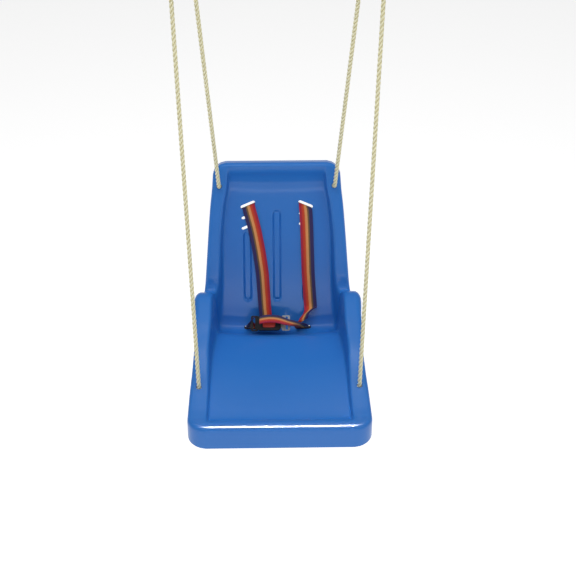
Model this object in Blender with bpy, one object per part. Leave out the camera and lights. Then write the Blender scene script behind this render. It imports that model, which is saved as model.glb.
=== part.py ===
"""Toddler bucket swing: a moulded high-back seat on four ropes that hang from two beam hangers.

Metres, +Z up, +Y towards the backrest, and +X to the right for someone who faces the seat. The
origin is on the underside of the beam, midway between the two hangers. The seat is drawn in its
own frame, whose zero is the bottom of the front lip, and hangs from an empty on the bolts' axis.
"""

import math

import bmesh
import bpy
from mathutils import Matrix, Vector

# Driving dimensions.
WALL = 0.004  # thickness of the moulded shell
WEBBING_WIDTH = 0.025
WEBBING_THICK = 0.002
ROPE_RADIUS = 0.004
FIT = 0.0004  # clearance left between pieces that touch

# Suspension, in the beam's frame.
PIVOT_DROP = 0.052  # bolts' axis below the beam
FRONT_ROPE_X = 0.1757
REAR_ROPE_X = 0.1394
BOLT_RADIUS = 0.005
BOBBIN_GROOVE = 0.0163  # radius of the rope's centreline round the thimble
PLATE_SIZE = (0.092, 0.110, 0.006)
EAR_THICK = 0.005
EAR_RADIUS = 0.020
SCREW_Y = 0.040
BOLT_HEX = 0.0090  # corner radius of the bolt's head and nut
NUT_HIGH = 0.0080
HEAD_HIGH = 0.0064
EYE_THROAT = 0.046  # below the bolt, where the eye's two legs meet
SEIZING_LONG = 0.022

# The bolts' axis, in the seat's frame: straight above the hanging parts' centre of mass.
PIVOT_Y = 0.2482
PIVOT_Z = 0.8350

# Rope holes, in the seat's frame: middle of the hole on the moulding's face, and the way out of it.
FRONT_HOLE = Vector((0.1474, 0.1050, 0.0608))
FRONT_HOLE_OUT = Vector((0.0, -0.31, 0.95)).normalized()
REAR_HOLE = Vector((0.1096, 0.3873, 0.3241))
REAR_HOLE_OUT = Vector((0.0, -0.957, 0.289)).normalized()
HOLE_RADIUS = 0.0052
ROPE_BEND = 0.018  # radius of the rope's bend at the hole
WASHER_THICK = 0.0016
WASHER_RADIUS = 0.0080
KNOT_RADIUS = 0.0088

# Backrest panel: foot of its straight part and its lean from upright.
BACK_FOOT = Vector((0.0, 0.3295, 0.0570))
BACK_LEAN = math.atan2(0.0905, 0.300)
BACK_UP = Vector((0.0, math.sin(BACK_LEAN), math.cos(BACK_LEAN)))
BACK_OUT = Vector((0.0, -math.cos(BACK_LEAN), math.sin(BACK_LEAN)))
SLOT_SIZES = ((0.030, 0.008), (0.028, 0.008), (0.028, 0.008))
SLOT_X = 0.0555
SLOT_TURN = math.radians(23)
SLOT_HEIGHTS = (0.231, 0.209, 0.1885)  # along the panel from its foot
LAP_SLOT = Vector((0.050, 0.3205, 0.0435))
LAP_SLOT_OUT = Vector((0.0, -0.668, 0.744)).normalized()
LAP_SLOT_SIZE = (0.032, 0.008)
KEEPER_THICK = 0.0030
SHOULDER_KEEPER = (0.038, 0.014, 0.0032)  # width, height, each window's height
LAP_KEEPER = (0.038, 0.022, 0.0046)
KEEPER_DROP = 0.0092  # a shoulder keeper's middle below its slot's

# Buckle, in its own frame: X along the belt, Z out of its face, zero in the tongue's middle.
BUCKLE_PLACE = Vector((-0.0170, 0.3000, 0.0672))
BUCKLE_TILT = math.radians(50)
HOUSING = (0.046, 0.028)
HOUSING_RADIUS = 0.006
HOUSING_TOP = 0.0070
HOUSING_BOTTOM = -0.0090
HOUSING_WALL = 0.0015
CHANNEL = (0.0205, 0.0030)  # width and height of the tongue's way in
BUTTON_SIZE = (0.024, 0.017)
BUTTON_TOP = 0.0080
BUTTON_FLANGE = (0.028, 0.0238, 0.0050)  # last: height of its upper face
LATCH_SIZE = (0.014, 0.0236, 0.0012)
LATCH_LOW = -0.0030  # height of the latch plate's underside
TONGUE_SIZE = (0.028, 0.0195, 0.0020)
TONGUE_HEAD = (0.016, 0.0300)

# Shoulder straps: (height up the backrest, how proud of it, left strap's x, right strap's x).
SHOULDER_ROUTE = (
    (0.2230, 0.0034, -0.0532, 0.0557),
    (0.2130, 0.0030, -0.0505, 0.0565),
    (0.1820, 0.0030, -0.0427, 0.0580),
    (0.1400, 0.0030, -0.0350, 0.0592),
    (0.0950, 0.0030, -0.0288, 0.0605),
    (0.0500, 0.0032, -0.0262, 0.0635),
    (0.0240, 0.0060, -0.0250, 0.0655),
)
LEFT_STRAP_END = (0.0070, 0.0165, -0.0240)

# Moulding stations, front lip to top edge. Each row: middle (y, z), rim (y, z), dish of the
# middle, wall's middle x, wall's width, outer half width, skirt's turn in degrees, skirt depth.
STATIONS = (
    (0.0100, 0.0460, 0.0100, 0.0460, 0.000, 0.1306, 0.014, 0.1668, 0, 0.036),
    (0.0155, 0.0464, 0.0155, 0.0463, 0.000, 0.1306, 0.014, 0.1668, 0, 0.035),
    (0.0220, 0.0456, 0.0220, 0.0463, 0.000, 0.1306, 0.014, 0.1668, 0, 0.034),
    (0.0300, 0.0405, 0.0300, 0.0466, 0.000, 0.1306, 0.014, 0.1668, 0, 0.032),
    (0.0380, 0.0370, 0.0380, 0.0472, 0.001, 0.1306, 0.014, 0.1667, 0, 0.030),
    (0.0550, 0.0372, 0.0550, 0.0490, 0.002, 0.1300, 0.014, 0.1662, 0, 0.032),
    (0.1000, 0.0430, 0.0980, 0.0585, 0.004, 0.1290, 0.014, 0.1644, 0, 0.037),
    (0.1500, 0.0500, 0.1450, 0.0740, 0.006, 0.1285, 0.016, 0.1610, 0, 0.046),
    (0.2000, 0.0570, 0.1920, 0.0985, 0.007, 0.1275, 0.016, 0.1580, 0, 0.063),
    (0.2400, 0.0612, 0.2280, 0.1235, 0.008, 0.1265, 0.017, 0.1580, 0, 0.080),
    (0.2620, 0.0605, 0.2480, 0.1385, 0.008, 0.1260, 0.018, 0.1585, 0, 0.088),
    (0.2800, 0.0530, 0.2640, 0.1490, 0.007, 0.1255, 0.020, 0.1595, 0, 0.092),
    (0.2960, 0.0435, 0.2790, 0.1530, 0.005, 0.1245, 0.022, 0.1590, 0, 0.090),
    (0.3100, 0.0395, 0.2950, 0.1470, 0.004, 0.1225, 0.022, 0.1555, 2, 0.080),
    (0.3220, 0.0440, 0.3090, 0.1340, 0.004, 0.1195, 0.022, 0.1490, 10, 0.062),
    (0.3295, 0.0570, 0.3200, 0.1275, 0.004, 0.1155, 0.020, 0.1430, 35, 0.042),
    (0.3380, 0.0850, 0.3300, 0.1360, 0.004, 0.1120, 0.018, 0.1405, 62, 0.030),
    (0.3485, 0.1200, 0.3366, 0.1570, 0.004, 0.1095, 0.018, 0.1385, 72, 0.024),
    (0.3621, 0.1650, 0.3460, 0.1880, 0.004, 0.1080, 0.018, 0.1360, 73, 0.022),
    (0.3787, 0.2200, 0.3593, 0.2320, 0.004, 0.1060, 0.018, 0.1325, 73, 0.022),
    (0.3953, 0.2750, 0.3746, 0.2820, 0.004, 0.1005, 0.018, 0.1280, 73, 0.022),
    (0.4045, 0.3120, 0.3845, 0.3150, 0.003, 0.0945, 0.017, 0.1240, 73, 0.022),
    (0.4035, 0.3340, 0.3908, 0.3360, 0.001, 0.0930, 0.017, 0.1222, 73, 0.021),
    (0.3990, 0.3485, 0.3948, 0.3490, 0.000, 0.0925, 0.017, 0.1212, 73, 0.020),
    (0.3980, 0.3597, 0.3980, 0.3597, 0.000, 0.0920, 0.017, 0.1205, 73, 0.020),
)
LIP_ROLL = 0.010  # radius of the rolled edge at the front lip
EDGE_ROLL = 0.007  # and along the rest of the rim
FRONT_CORNER = 0.026
TOP_CORNER = 0.011
FLOOR_COLUMNS = 5
WALL_COLUMNS = 8
BAND_COLUMNS = 2


def clear_scene():
    for obj in list(bpy.data.objects):
        bpy.data.objects.remove(obj, do_unlink=True)


def material(name, colour, roughness, metallic=0.0):
    made = bpy.data.materials.new(name)
    made.use_nodes = True
    shader = made.node_tree.nodes["Principled BSDF"]
    shader.inputs["Base Color"].default_value = (*colour, 1.0)
    shader.inputs["Roughness"].default_value = roughness
    shader.inputs["Metallic"].default_value = metallic
    made.diffuse_color = (*colour, 1.0)
    return made


def empty(name, place, parent=None):
    obj = bpy.data.objects.new(name, None)
    obj.location = place
    obj.parent = parent
    bpy.context.scene.collection.objects.link(obj)
    return obj


def finish(name, bm, finish_material, parent, matrix=None, smooth=True):
    """Makes the bmesh an object of this name under its parent."""
    mesh = bpy.data.meshes.new(name)
    bmesh.ops.recalc_face_normals(bm, faces=bm.faces)
    bm.to_mesh(mesh)
    bm.free()
    mesh.materials.append(finish_material)
    if smooth:
        mesh.shade_smooth()
        mesh.set_sharp_from_angle(angle=math.radians(35))
    obj = bpy.data.objects.new(name, mesh)
    obj.parent = parent
    if matrix is not None:
        obj.matrix_local = matrix
    bpy.context.scene.collection.objects.link(obj)
    return obj


def helper(name, bm, parent, matrix=None):
    """A cutter or a piece to be joined, left out of the model."""
    obj = finish(name, bm, MATERIALS["steel"], parent, matrix, smooth=False)
    obj.hide_render = True
    obj.display_type = "WIRE"
    return obj


def boolean(obj, other, operation):
    modifier = obj.modifiers.new(other.name, "BOOLEAN")
    modifier.object = other
    modifier.operation = operation
    modifier.solver = "EXACT"


def box(size, centre=(0, 0, 0)):
    bm = bmesh.new()
    bmesh.ops.create_cube(bm, size=1.0)
    bmesh.ops.scale(bm, vec=size, verts=bm.verts)
    bmesh.ops.translate(bm, vec=centre, verts=bm.verts)
    return bm


def rod(radius, length, segments=24, axis="Z", centre=(0, 0, 0)):
    bm = bmesh.new()
    bmesh.ops.create_cone(
        bm, cap_ends=True, segments=segments, radius1=radius, radius2=radius, depth=length
    )
    turn = {"X": Matrix.Rotation(math.pi / 2, 3, "Y"), "Y": Matrix.Rotation(math.pi / 2, 3, "X")}
    if axis in turn:
        bmesh.ops.rotate(bm, matrix=turn[axis], verts=bm.verts)
    bmesh.ops.translate(bm, vec=centre, verts=bm.verts)
    return bm


def prism(outline, depth):
    """A flat outline in XY, extruded from -depth/2 to depth/2 along Z."""
    bm = bmesh.new()
    verts = [bm.verts.new((x, y, -depth / 2)) for x, y in outline]
    face = bm.faces.new(verts)
    made = bmesh.ops.extrude_face_region(bm, geom=[face])
    moved = [v for v in made["geom"] if isinstance(v, bmesh.types.BMVert)]
    bmesh.ops.translate(bm, vec=(0, 0, depth), verts=moved)
    return bm


def round_outline(width, height, radius, steps=4):
    """A rectangle with round corners, anticlockwise."""
    points = []
    for turn, (sx, sy) in enumerate(((1, 1), (-1, 1), (-1, -1), (1, -1))):
        cx = sx * (width / 2 - radius)
        cy = sy * (height / 2 - radius)
        for step in range(steps + 1):
            angle = math.pi / 2 * (turn + step / steps)
            points.append((cx + radius * math.cos(angle), cy + radius * math.sin(angle)))
    return points


def turned(profile, steps):
    """A closed profile of (x, r) points spun round the X axis."""
    bm = bmesh.new()
    verts = [bm.verts.new((x, 0, r)) for x, r in profile]
    edges = [bm.edges.new((a, b)) for a, b in zip(verts, verts[1:] + verts[:1])]
    bmesh.ops.spin(
        bm, geom=verts + edges, cent=(0, 0, 0), axis=(1, 0, 0), angle=2 * math.pi,
        steps=steps, use_merge=True,
    )
    bmesh.ops.remove_doubles(bm, verts=bm.verts, dist=1e-6)
    return bm


def facing(direction, place, side=Vector((1, 0, 0))):
    """A matrix whose Z runs along direction and whose X stays near side."""
    z = direction.normalized()
    y = z.cross(side).normalized()
    x = y.cross(z)
    turn = Matrix((x, y, z)).transposed().to_4x4()
    return Matrix.Translation(place) @ turn


def mirrored(point, sign):
    return Vector((sign * point.x, point.y, point.z))


def on_back(x, height, proud=0.0):
    """A point this far up the backrest from its foot, and this far in front of it."""
    point = BACK_FOOT + BACK_UP * height + BACK_OUT * proud
    point.x = x
    return point


def slot_across(sign):
    """Long direction of a shoulder slot, which rises towards the middle."""
    return Vector((math.cos(SLOT_TURN), 0, 0)) - sign * BACK_UP * math.sin(SLOT_TURN)


def side_name(sign):
    return "right" if sign > 0 else "left"


MATERIALS = {}


def make_materials():
    MATERIALS["blue"] = material("moulded_blue", (0.03, 0.15, 0.48), 0.32)
    MATERIALS["rope"] = material("rope_cream", (0.80, 0.74, 0.45), 0.85)
    MATERIALS["steel"] = material("zinc_steel", (0.62, 0.63, 0.64), 0.35, 1.0)
    MATERIALS["webbing"] = material("striped_webbing", (0.75, 0.20, 0.08), 0.8)
    MATERIALS["black"] = material("black_nylon", (0.02, 0.02, 0.022), 0.45)
    MATERIALS["red"] = material("red_button", (0.70, 0.03, 0.02), 0.35)
    MATERIALS["twine"] = material("waxed_twine", (0.70, 0.62, 0.36), 0.8)


# Beam hangers: one welded steel bracket a side, with a bolt, a nut and two screws.


def make_bracket(sign, pivot):
    """A plate against the beam, with three ears welded under it that the bolt passes."""
    centre_x = (FRONT_ROPE_X + REAR_ROPE_X) / 2
    gap = FRONT_ROPE_X - REAR_ROPE_X
    place = Matrix.Translation((sign * centre_x, 0, -PLATE_SIZE[2] / 2))
    outline = round_outline(PLATE_SIZE[0], PLATE_SIZE[1], 0.010)
    bracket = finish(
        f"hanger_bracket_{side_name(sign)}", prism(outline, PLATE_SIZE[2]),
        MATERIALS["steel"], None, place,
    )
    for index in (-1, 0, 1):
        height = PIVOT_DROP + 0.001
        outline = [(-EAR_RADIUS, height - 0.004), (-EAR_RADIUS, 0)]
        outline += [
            (-EAR_RADIUS * math.cos(math.pi * i / 9), -EAR_RADIUS * math.sin(math.pi * i / 9))
            for i in range(1, 9)
        ]
        outline += [(EAR_RADIUS, 0), (EAR_RADIUS, height - 0.004)]
        turn = Matrix(((0, 0, 1), (1, 0, 0), (0, 1, 0))).to_4x4()
        at = Matrix.Translation((sign * (centre_x + index * gap), 0, -PIVOT_DROP)) @ turn
        ear = helper(f"ear_{side_name(sign)}_{index + 1}", prism(outline, EAR_THICK), None, at)
        boolean(bracket, ear, "UNION")
    hole = helper(
        f"bolt_hole_{side_name(sign)}", rod(BOLT_RADIUS + FIT, 0.12, 24, "X"), None,
        Matrix.Translation((sign * centre_x, 0, -PIVOT_DROP)),
    )
    boolean(bracket, hole, "DIFFERENCE")
    for end in (-1, 1):
        at = Matrix.Translation((sign * centre_x, end * SCREW_Y, 0))
        hole = helper(f"screw_hole_{side_name(sign)}_{end + 1}", rod(0.0036, 0.03), None, at)
        boolean(bracket, hole, "DIFFERENCE")


def make_hanger_fasteners(sign):
    centre_x = (FRONT_ROPE_X + REAR_ROPE_X) / 2
    reach = FRONT_ROPE_X - REAR_ROPE_X + EAR_THICK / 2
    side = side_name(sign)
    start = -reach - 2 * NUT_HIGH
    end = reach + FIT
    length = end - start + HEAD_HIGH / 2
    shaft = rod(BOLT_RADIUS, length, 24, "X", (sign * (start + length / 2), 0, 0))
    at = Matrix.Translation((sign * centre_x, 0, -PIVOT_DROP))
    head = rod(BOLT_HEX, HEAD_HIGH, 6, "X", (sign * (end + HEAD_HIGH / 2), 0, 0))
    bolt = finish(f"pivot_bolt_{side}", head, MATERIALS["steel"], None, at)
    boolean(bolt, helper(f"bolt_shaft_{side}", shaft, None, at), "UNION")
    nut_x = -sign * (reach + FIT + NUT_HIGH / 2)
    nut = rod(BOLT_HEX, NUT_HIGH, 6, "X", (nut_x, 0, 0))
    nut = finish(f"pivot_nut_{side}", nut, MATERIALS["steel"], None, at)
    bore = helper(f"nut_bore_{side}", rod(BOLT_RADIUS + FIT, 0.02, 24, "X", (nut_x, 0, 0)), None, at)
    boolean(nut, bore, "DIFFERENCE")
    for end_name, end_sign in (("front", -1), ("rear", 1)):
        place = Matrix.Translation((sign * centre_x, end_sign * SCREW_Y, -PLATE_SIZE[2] - FIT))
        profile = [(-0.0045, 0.0), (-0.0045, 0.0042), (-0.003, 0.0064), (0.0, 0.0064)]
        profile += [(0.0, 0.0032), (0.0058, 0.0032), (0.0062, 0.0)]
        screw = turned(profile, 16)
        bmesh.ops.rotate(screw, matrix=Matrix.Rotation(-math.pi / 2, 3, "Y"), verts=screw.verts)
        finish(f"hanger_screw_{side}_{end_name}", screw, MATERIALS["steel"], None, place)


# Ropes: each comes up from a stopper knot under the moulding, through a washer and its hole, and
# ends in an eye that is seized round a grooved bobbin on the pivot bolt.


def eye_route(down, side):
    """Points of the eye in the plane across the bolt, from the throat round to the tail's end.

    down points from the bolt to the seat and side is square to it; both lie across the bolt.
    """
    leg = ROPE_RADIUS + FIT
    points = [side * leg + down * EYE_THROAT]
    points.append(side * (leg + 0.0035) + down * (EYE_THROAT - 0.012))
    start = math.radians(38)
    turns = 18
    for step in range(turns + 1):
        angle = start + (2 * math.pi - 2 * start) * step / turns
        points.append(BOBBIN_GROOVE * (side * math.sin(angle) + down * math.cos(angle)))
    points.append(-side * (leg + 0.0035) + down * (EYE_THROAT - 0.012))
    points.append(-side * leg + down * EYE_THROAT)
    points.append(-side * leg + down * (EYE_THROAT + SEIZING_LONG + 0.004))
    return points


def rope_frame(hole, top):
    """Directions of the rope's eye: down the rope, and across it, both square to the bolt."""
    down = hole - top
    down.x = 0.0
    down.normalize()
    return down, Vector((1, 0, 0)).cross(down)


def hole_bend(hole, out, target):
    """Points from under the moulding, straight through the hole, round a bend and off to target."""
    along = (target - hole).normalized()
    angle = out.angle(along)
    cut = ROPE_BEND * math.tan(angle / 2)
    corner = hole + out * (cut + 0.001)
    along = (target - corner).normalized()
    start = corner - out * cut
    square = (along - out * along.dot(out)).normalized()
    centre = start + square * ROPE_BEND
    points = [hole - out * (WALL + WASHER_THICK + 3 * FIT), start]
    steps = 6
    for step in range(1, steps + 1):
        turn = angle * step / steps
        points.append(centre + (out * math.sin(turn) - square * math.cos(turn)) * ROPE_BEND)
    return points


def rope_points(hole, out, top):
    down, side = rope_frame(hole, top)
    eye = [top + p for p in eye_route(down, side)]
    lower = hole_bend(hole, out, eye[0])
    start, end = lower[-1], eye[0]
    count = round((end - start).length / (6 * ROPE_RADIUS))
    run = [start.lerp(end, i / count) for i in range(1, count)]
    return lower + run + eye


def make_rope(name, points, parent):
    curve = bpy.data.curves.new(name, "CURVE")
    curve.dimensions = "3D"
    curve.bevel_depth = ROPE_RADIUS
    curve.bevel_resolution = 2
    curve.use_fill_caps = True
    curve.materials.append(MATERIALS["rope"])
    spline = curve.splines.new("POLY")
    spline.points.add(len(points) - 1)
    for point, place in zip(spline.points, points):
        point.co = (*place, 1.0)
    obj = bpy.data.objects.new(name, curve)
    obj.parent = parent
    bpy.context.scene.collection.objects.link(obj)


def bobbin_profile():
    """Half a section of the bobbin: a hub that fills the gap between two ears, and a rope groove."""
    groove = ROPE_RADIUS + FIT
    hub = (FRONT_ROPE_X - REAR_ROPE_X - EAR_THICK) / 2 - FIT
    bore = BOLT_RADIUS + 1.5 * FIT
    points = [(-hub, bore), (-hub, 0.0090), (-0.0068, 0.0100), (-0.0065, 0.0190)]
    for step in range(6):
        angle = math.pi * (1 + step / 5)
        points.append((groove * math.cos(angle), BOBBIN_GROOVE + groove * math.sin(angle)))
    points += [(0.0065, 0.0190), (0.0068, 0.0100), (hub, 0.0090), (hub, bore)]
    return points


def make_suspension_rope(end, sign, seat):
    """One rope with its bobbin, seizing, washer and knot."""
    label = f"{end}_{side_name(sign)}"
    hole, out, top_x = {
        "front": (FRONT_HOLE, FRONT_HOLE_OUT, FRONT_ROPE_X),
        "rear": (REAR_HOLE, REAR_HOLE_OUT, REAR_ROPE_X),
    }[end]
    hole = mirrored(hole, sign)
    top = Vector((sign * top_x, PIVOT_Y, PIVOT_Z))
    make_rope(f"rope_{label}", rope_points(hole, out, top), seat)
    bobbin = turned(bobbin_profile(), 18)
    finish(f"rope_thimble_{label}", bobbin, MATERIALS["black"], seat, Matrix.Translation(top))

    down, side = rope_frame(hole, top)
    middle = top + down * (EYE_THROAT + SEIZING_LONG / 2 + 0.002)
    outer = round_outline(4 * ROPE_RADIUS + 0.0060, 2 * ROPE_RADIUS + 0.0064, 0.0068)
    inner = round_outline(4 * ROPE_RADIUS + 0.0028, 2 * ROPE_RADIUS + 0.0036, 0.0054)
    at = facing(down, middle, side)
    seizing = prism(outer, SEIZING_LONG)
    seizing = finish(f"rope_seizing_{label}", seizing, MATERIALS["twine"], seat, at)
    boolean(seizing, helper(f"seizing_bore_{label}", prism(inner, 0.04), seat, at), "DIFFERENCE")

    under = hole - out * (WALL + 2 * FIT + WASHER_THICK / 2)
    bore = ROPE_RADIUS + 1.5 * FIT
    profile = [(-WASHER_THICK / 2, bore), (-WASHER_THICK / 2, WASHER_RADIUS)]
    profile += [(WASHER_THICK / 2, WASHER_RADIUS), (WASHER_THICK / 2, bore)]
    washer = turned(profile, 16)
    bmesh.ops.rotate(washer, matrix=Matrix.Rotation(-math.pi / 2, 3, "Y"), verts=washer.verts)
    finish(f"rope_washer_{label}", washer, MATERIALS["steel"], seat, facing(out, under))

    knot = bmesh.new()
    bmesh.ops.create_uvsphere(knot, u_segments=12, v_segments=8, radius=KNOT_RADIUS)
    bmesh.ops.scale(knot, vec=(1.0, 1.0, 0.85), verts=knot.verts)
    centre = hole - out * (WALL + WASHER_THICK + 5 * FIT + KNOT_RADIUS * 0.85)
    finish(f"rope_knot_{label}", knot, MATERIALS["rope"], seat, facing(out, centre))


# Seat: one moulding, a pan and a backrest with a rolled rim and a skirt all round.


def station(at, column):
    """A column of the stations' table read at a whole or part station, by a smooth curve."""
    last = len(STATIONS) - 1
    i = min(int(at), last - 1)
    t = at - i
    rows = [STATIONS[min(max(k, 0), last)][column] for k in range(i - 1, i + 3)]
    a, b, c, d = rows
    return b + 0.5 * t * (c - a + t * (2 * a - 5 * b + 4 * c - d + t * (3 * (b - c) + d - a)))


def corner_cut(distance, radius):
    """How far a round corner cuts into the width at this distance from the end."""
    if distance >= radius:
        return 0.0
    cosine = 1 - distance / radius
    return radius * (1 - math.sqrt(1 - cosine * cosine))


def roll_radius(at):
    return EDGE_ROLL + (LIP_ROLL - EDGE_ROLL) * max(0.0, 1 - at / 5)


def edge_half_width(at):
    """Half width of the open sheet, before its edge is rolled over."""
    width = station(at, 7) - roll_radius(at)
    width -= corner_cut(station(at, 2) - STATIONS[0][2], FRONT_CORNER)
    end = STATIONS[-1]
    left = math.hypot(end[2] - station(at, 2), end[3] - station(at, 3))
    return width - corner_cut(left, TOP_CORNER)


def sheet_point(at, column):
    """A point of the moulding's face: at runs front to top, column out from the middle."""
    side = -1 if column < 0 else 1
    column = abs(column)
    edge = edge_half_width(at)
    wall_end = min(station(at, 5) + station(at, 6) / 2, edge - 0.004)
    wall_start = min(station(at, 5) - station(at, 6) / 2, wall_end - 0.012)
    floor = min(column / FLOOR_COLUMNS, 1.0)
    t = min(max((column - FLOOR_COLUMNS) / WALL_COLUMNS, 0.0), 1.0)
    band = max((column - FLOOR_COLUMNS - WALL_COLUMNS) / BAND_COLUMNS, 0.0)
    rise = t - math.sin(2 * math.pi * t) / (2 * math.pi)
    run = t + 0.6 * math.sin(2 * math.pi * t) / (2 * math.pi)
    x = floor * wall_start + run * (wall_end - wall_start) + band * (edge - wall_end)
    y, z = station(at, 0), station(at, 1) + station(at, 4) * floor * floor
    y += rise * (station(at, 2) - y)
    z += rise * (station(at, 3) - z)
    return Vector((side * x, y, z))


def skirt_direction(at):
    turn = math.radians(station(at, 8))
    return Vector((0, math.sin(turn), -math.cos(turn)))


def rim_loop(grid, last, columns):
    """The sheet's boundary in order, as (vertex, station) pairs."""
    loop = [(grid[c, 0], 0) for c in range(-columns, columns + 1)]
    loop += [(grid[columns, r], r) for r in range(1, last + 1)]
    loop += [(grid[c, last], last) for c in range(columns - 1, -columns - 1, -1)]
    loop += [(grid[-columns, r], r) for r in range(last - 1, 0, -1)]
    return loop


def new_neighbour(vert, fresh):
    return next(edge.other_vert(vert) for edge in vert.link_edges if edge.other_vert(vert) in fresh)


def roll_edge(bm, loop):
    """Rolls the sheet's edge outwards and down, and carries it on as the skirt."""
    count = len(loop)
    base, ways = [], []
    for i, (vert, at) in enumerate(loop):
        along = loop[(i + 1) % count][0].co - loop[i - 1][0].co
        down = skirt_direction(at)
        out = down.cross(along).normalized()
        base.append(vert.co.copy())
        ways.append((out, down, roll_radius(at), station(at, 9)))
    ring = [vert for vert, _ in loop]
    turns = [math.pi / 6, math.pi / 3, math.pi / 2]
    levels = [(math.sin(turn), 1 - math.cos(turn), 0.0) for turn in turns]
    levels += [(1.0, 1.0, 0.5), (1.0, 1.0, 1.0)]
    for across, drop, depth in levels:
        edges = [bm.edges.get((ring[i], ring[(i + 1) % count])) for i in range(count)]
        made = bmesh.ops.extrude_edge_only(bm, edges=edges)["geom"]
        fresh = {v for v in made if isinstance(v, bmesh.types.BMVert)}
        follow = [new_neighbour(vert, fresh) for vert in ring]
        for vert, place, (out, down, radius, skirt) in zip(follow, base, ways):
            vert.co = place + out * radius * across + down * (radius * drop + skirt * depth)
        ring = follow


def make_moulding(seat):
    """The sheet of the moulding with its rolled edge, thickened away from its seat side."""
    last = len(STATIONS) - 1
    columns = FLOOR_COLUMNS + WALL_COLUMNS + BAND_COLUMNS
    bm = bmesh.new()
    bmesh.ops.create_grid(bm, x_segments=2 * columns, y_segments=last, size=1.0)
    grid = {}
    for vert in bm.verts:
        column = round(vert.co.x * columns)
        row = round((vert.co.y + 1) / 2 * last)
        grid[column, row] = vert
        vert.co = sheet_point(row, column)
    roll_edge(bm, rim_loop(grid, last, columns))
    bmesh.ops.recalc_face_normals(bm, faces=bm.faces)
    bm.normal_update()
    if grid[0, 6].link_faces[0].normal.z < 0:
        bmesh.ops.reverse_faces(bm, faces=bm.faces)
    mesh = bpy.data.meshes.new("seat_shell")
    bm.to_mesh(mesh)
    bm.free()
    mesh.materials.append(MATERIALS["blue"])
    mesh.shade_smooth()
    shell = bpy.data.objects.new("seat_shell", mesh)
    shell.parent = seat
    bpy.context.scene.collection.objects.link(shell)
    wall = shell.modifiers.new("wall", "SOLIDIFY")
    wall.thickness = WALL
    wall.offset = -1.0
    wall.use_even_offset = True
    wall.use_quality_normals = True
    cut_moulding(shell, seat)


def cut_moulding(shell, seat):
    cutters = []
    for sign in (-1, 1):
        side = side_name(sign)
        for level, (height, size) in enumerate(zip(SLOT_HEIGHTS, SLOT_SIZES)):
            outline = round_outline(*size, size[1] / 2 - 0.0002)
            at = facing(BACK_OUT, on_back(sign * SLOT_X, height), slot_across(sign))
            cutters.append(helper(f"slot_{side}_{level}", prism(outline, 0.03), seat, at))
        outline = round_outline(*LAP_SLOT_SIZE, LAP_SLOT_SIZE[1] / 2 - 0.0002)
        at = facing(LAP_SLOT_OUT, mirrored(LAP_SLOT, sign))
        cutters.append(helper(f"lap_slot_{side}", prism(outline, 0.024), seat, at))
        for hole, out in ((FRONT_HOLE, FRONT_HOLE_OUT), (REAR_HOLE, REAR_HOLE_OUT)):
            at = facing(out, mirrored(hole, sign))
            cutters.append(helper(f"hole_{side}", rod(HOLE_RADIUS, 0.02, 16), seat, at))
    for cutter in cutters:
        boolean(shell, cutter, "DIFFERENCE")


# Harness: two shoulder straps and two lap straps of webbing, held by keepers behind the slots.


def webbing(name, points, across, parent):
    """A flat strap through points, each with the direction of its width."""
    bm = bmesh.new()
    half = WEBBING_WIDTH / 2
    ends = [bm.verts.new(points[0] + side * across[0].normalized() * half) for side in (-1, 1)]
    edge = bm.edges.new(ends)
    for point, width in zip(points[1:], across[1:]):
        made = bmesh.ops.extrude_edge_only(bm, edges=[edge])["geom"]
        edge = next(e for e in made if isinstance(e, bmesh.types.BMEdge))
        fresh = {v for v in made if isinstance(v, bmesh.types.BMVert)}
        ends = [new_neighbour(vert, fresh) for vert in ends]
        for vert, side in zip(ends, (-1, 1)):
            vert.co = point + side * width.normalized() * half
        edge = bm.edges.get(ends)
    strap = finish(name, bm, MATERIALS["webbing"], parent)
    thickness = strap.modifiers.new("thickness", "SOLIDIFY")
    thickness.thickness = WEBBING_THICK
    thickness.offset = 0.0


def make_shoulder_strap(sign, seat):
    slant = slot_across(sign)
    square = slant.cross(BACK_OUT)
    if square.dot(BACK_UP) < 0:
        square.negate()
    slot = on_back(sign * SLOT_X, SLOT_HEIGHTS[0]) - square * 0.0012
    points = [slot - BACK_OUT * (WALL - FIT), slot + BACK_OUT * 0.0012]
    points.append(slot + BACK_OUT * 0.0030 - square * 0.0012)
    across = [slant] * 3
    column = 3 if sign > 0 else 2
    route = [on_back(row[column], row[0], row[1]) for row in SHOULDER_ROUTE]
    if sign < 0:
        height, proud, x = LEFT_STRAP_END
        route.append(on_back(x, height, proud))
    for i, point in enumerate(route):
        after = route[min(i + 1, len(route) - 1)]
        before = route[max(i - 1, 0)] if i else points[-1]
        along = after - before
        side = along.cross(BACK_OUT).normalized()
        across.append(side if side.x > 0 else -side)
        points.append(point)
    webbing(f"shoulder_strap_{side_name(sign)}", points, across, seat)


def make_lap_strap(sign, seat):
    slot = mirrored(LAP_SLOT, sign)
    reaches = (-(WALL - FIT), 0.004, 0.010, 0.016)
    points = [slot + LAP_SLOT_OUT * reach for reach in reaches]
    webbing(f"lap_strap_{side_name(sign)}", points, [Vector((1, 0, 0))] * len(points), seat)


def make_keeper(name, size, place, out, across, seat):
    """A slotted plate behind the moulding, too long for the slot, that the webbing loops round."""
    wide, high, window_high = size
    centre = place - out * (WALL + 2 * FIT + KEEPER_THICK / 2)
    at = facing(out, centre, across)
    plate = prism(round_outline(wide, high, 0.004), KEEPER_THICK)
    keeper = finish(name, plate, MATERIALS["black"], seat, at)
    for end in (-1, 1):
        window = prism(round_outline(0.028, window_high, window_high * 0.33), 0.01)
        move = at @ Matrix.Translation((0, end * (window_high + high / 2) / 3, 0))
        boolean(keeper, helper(f"{name}_window_{end + 1}", window, seat, move), "DIFFERENCE")


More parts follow.
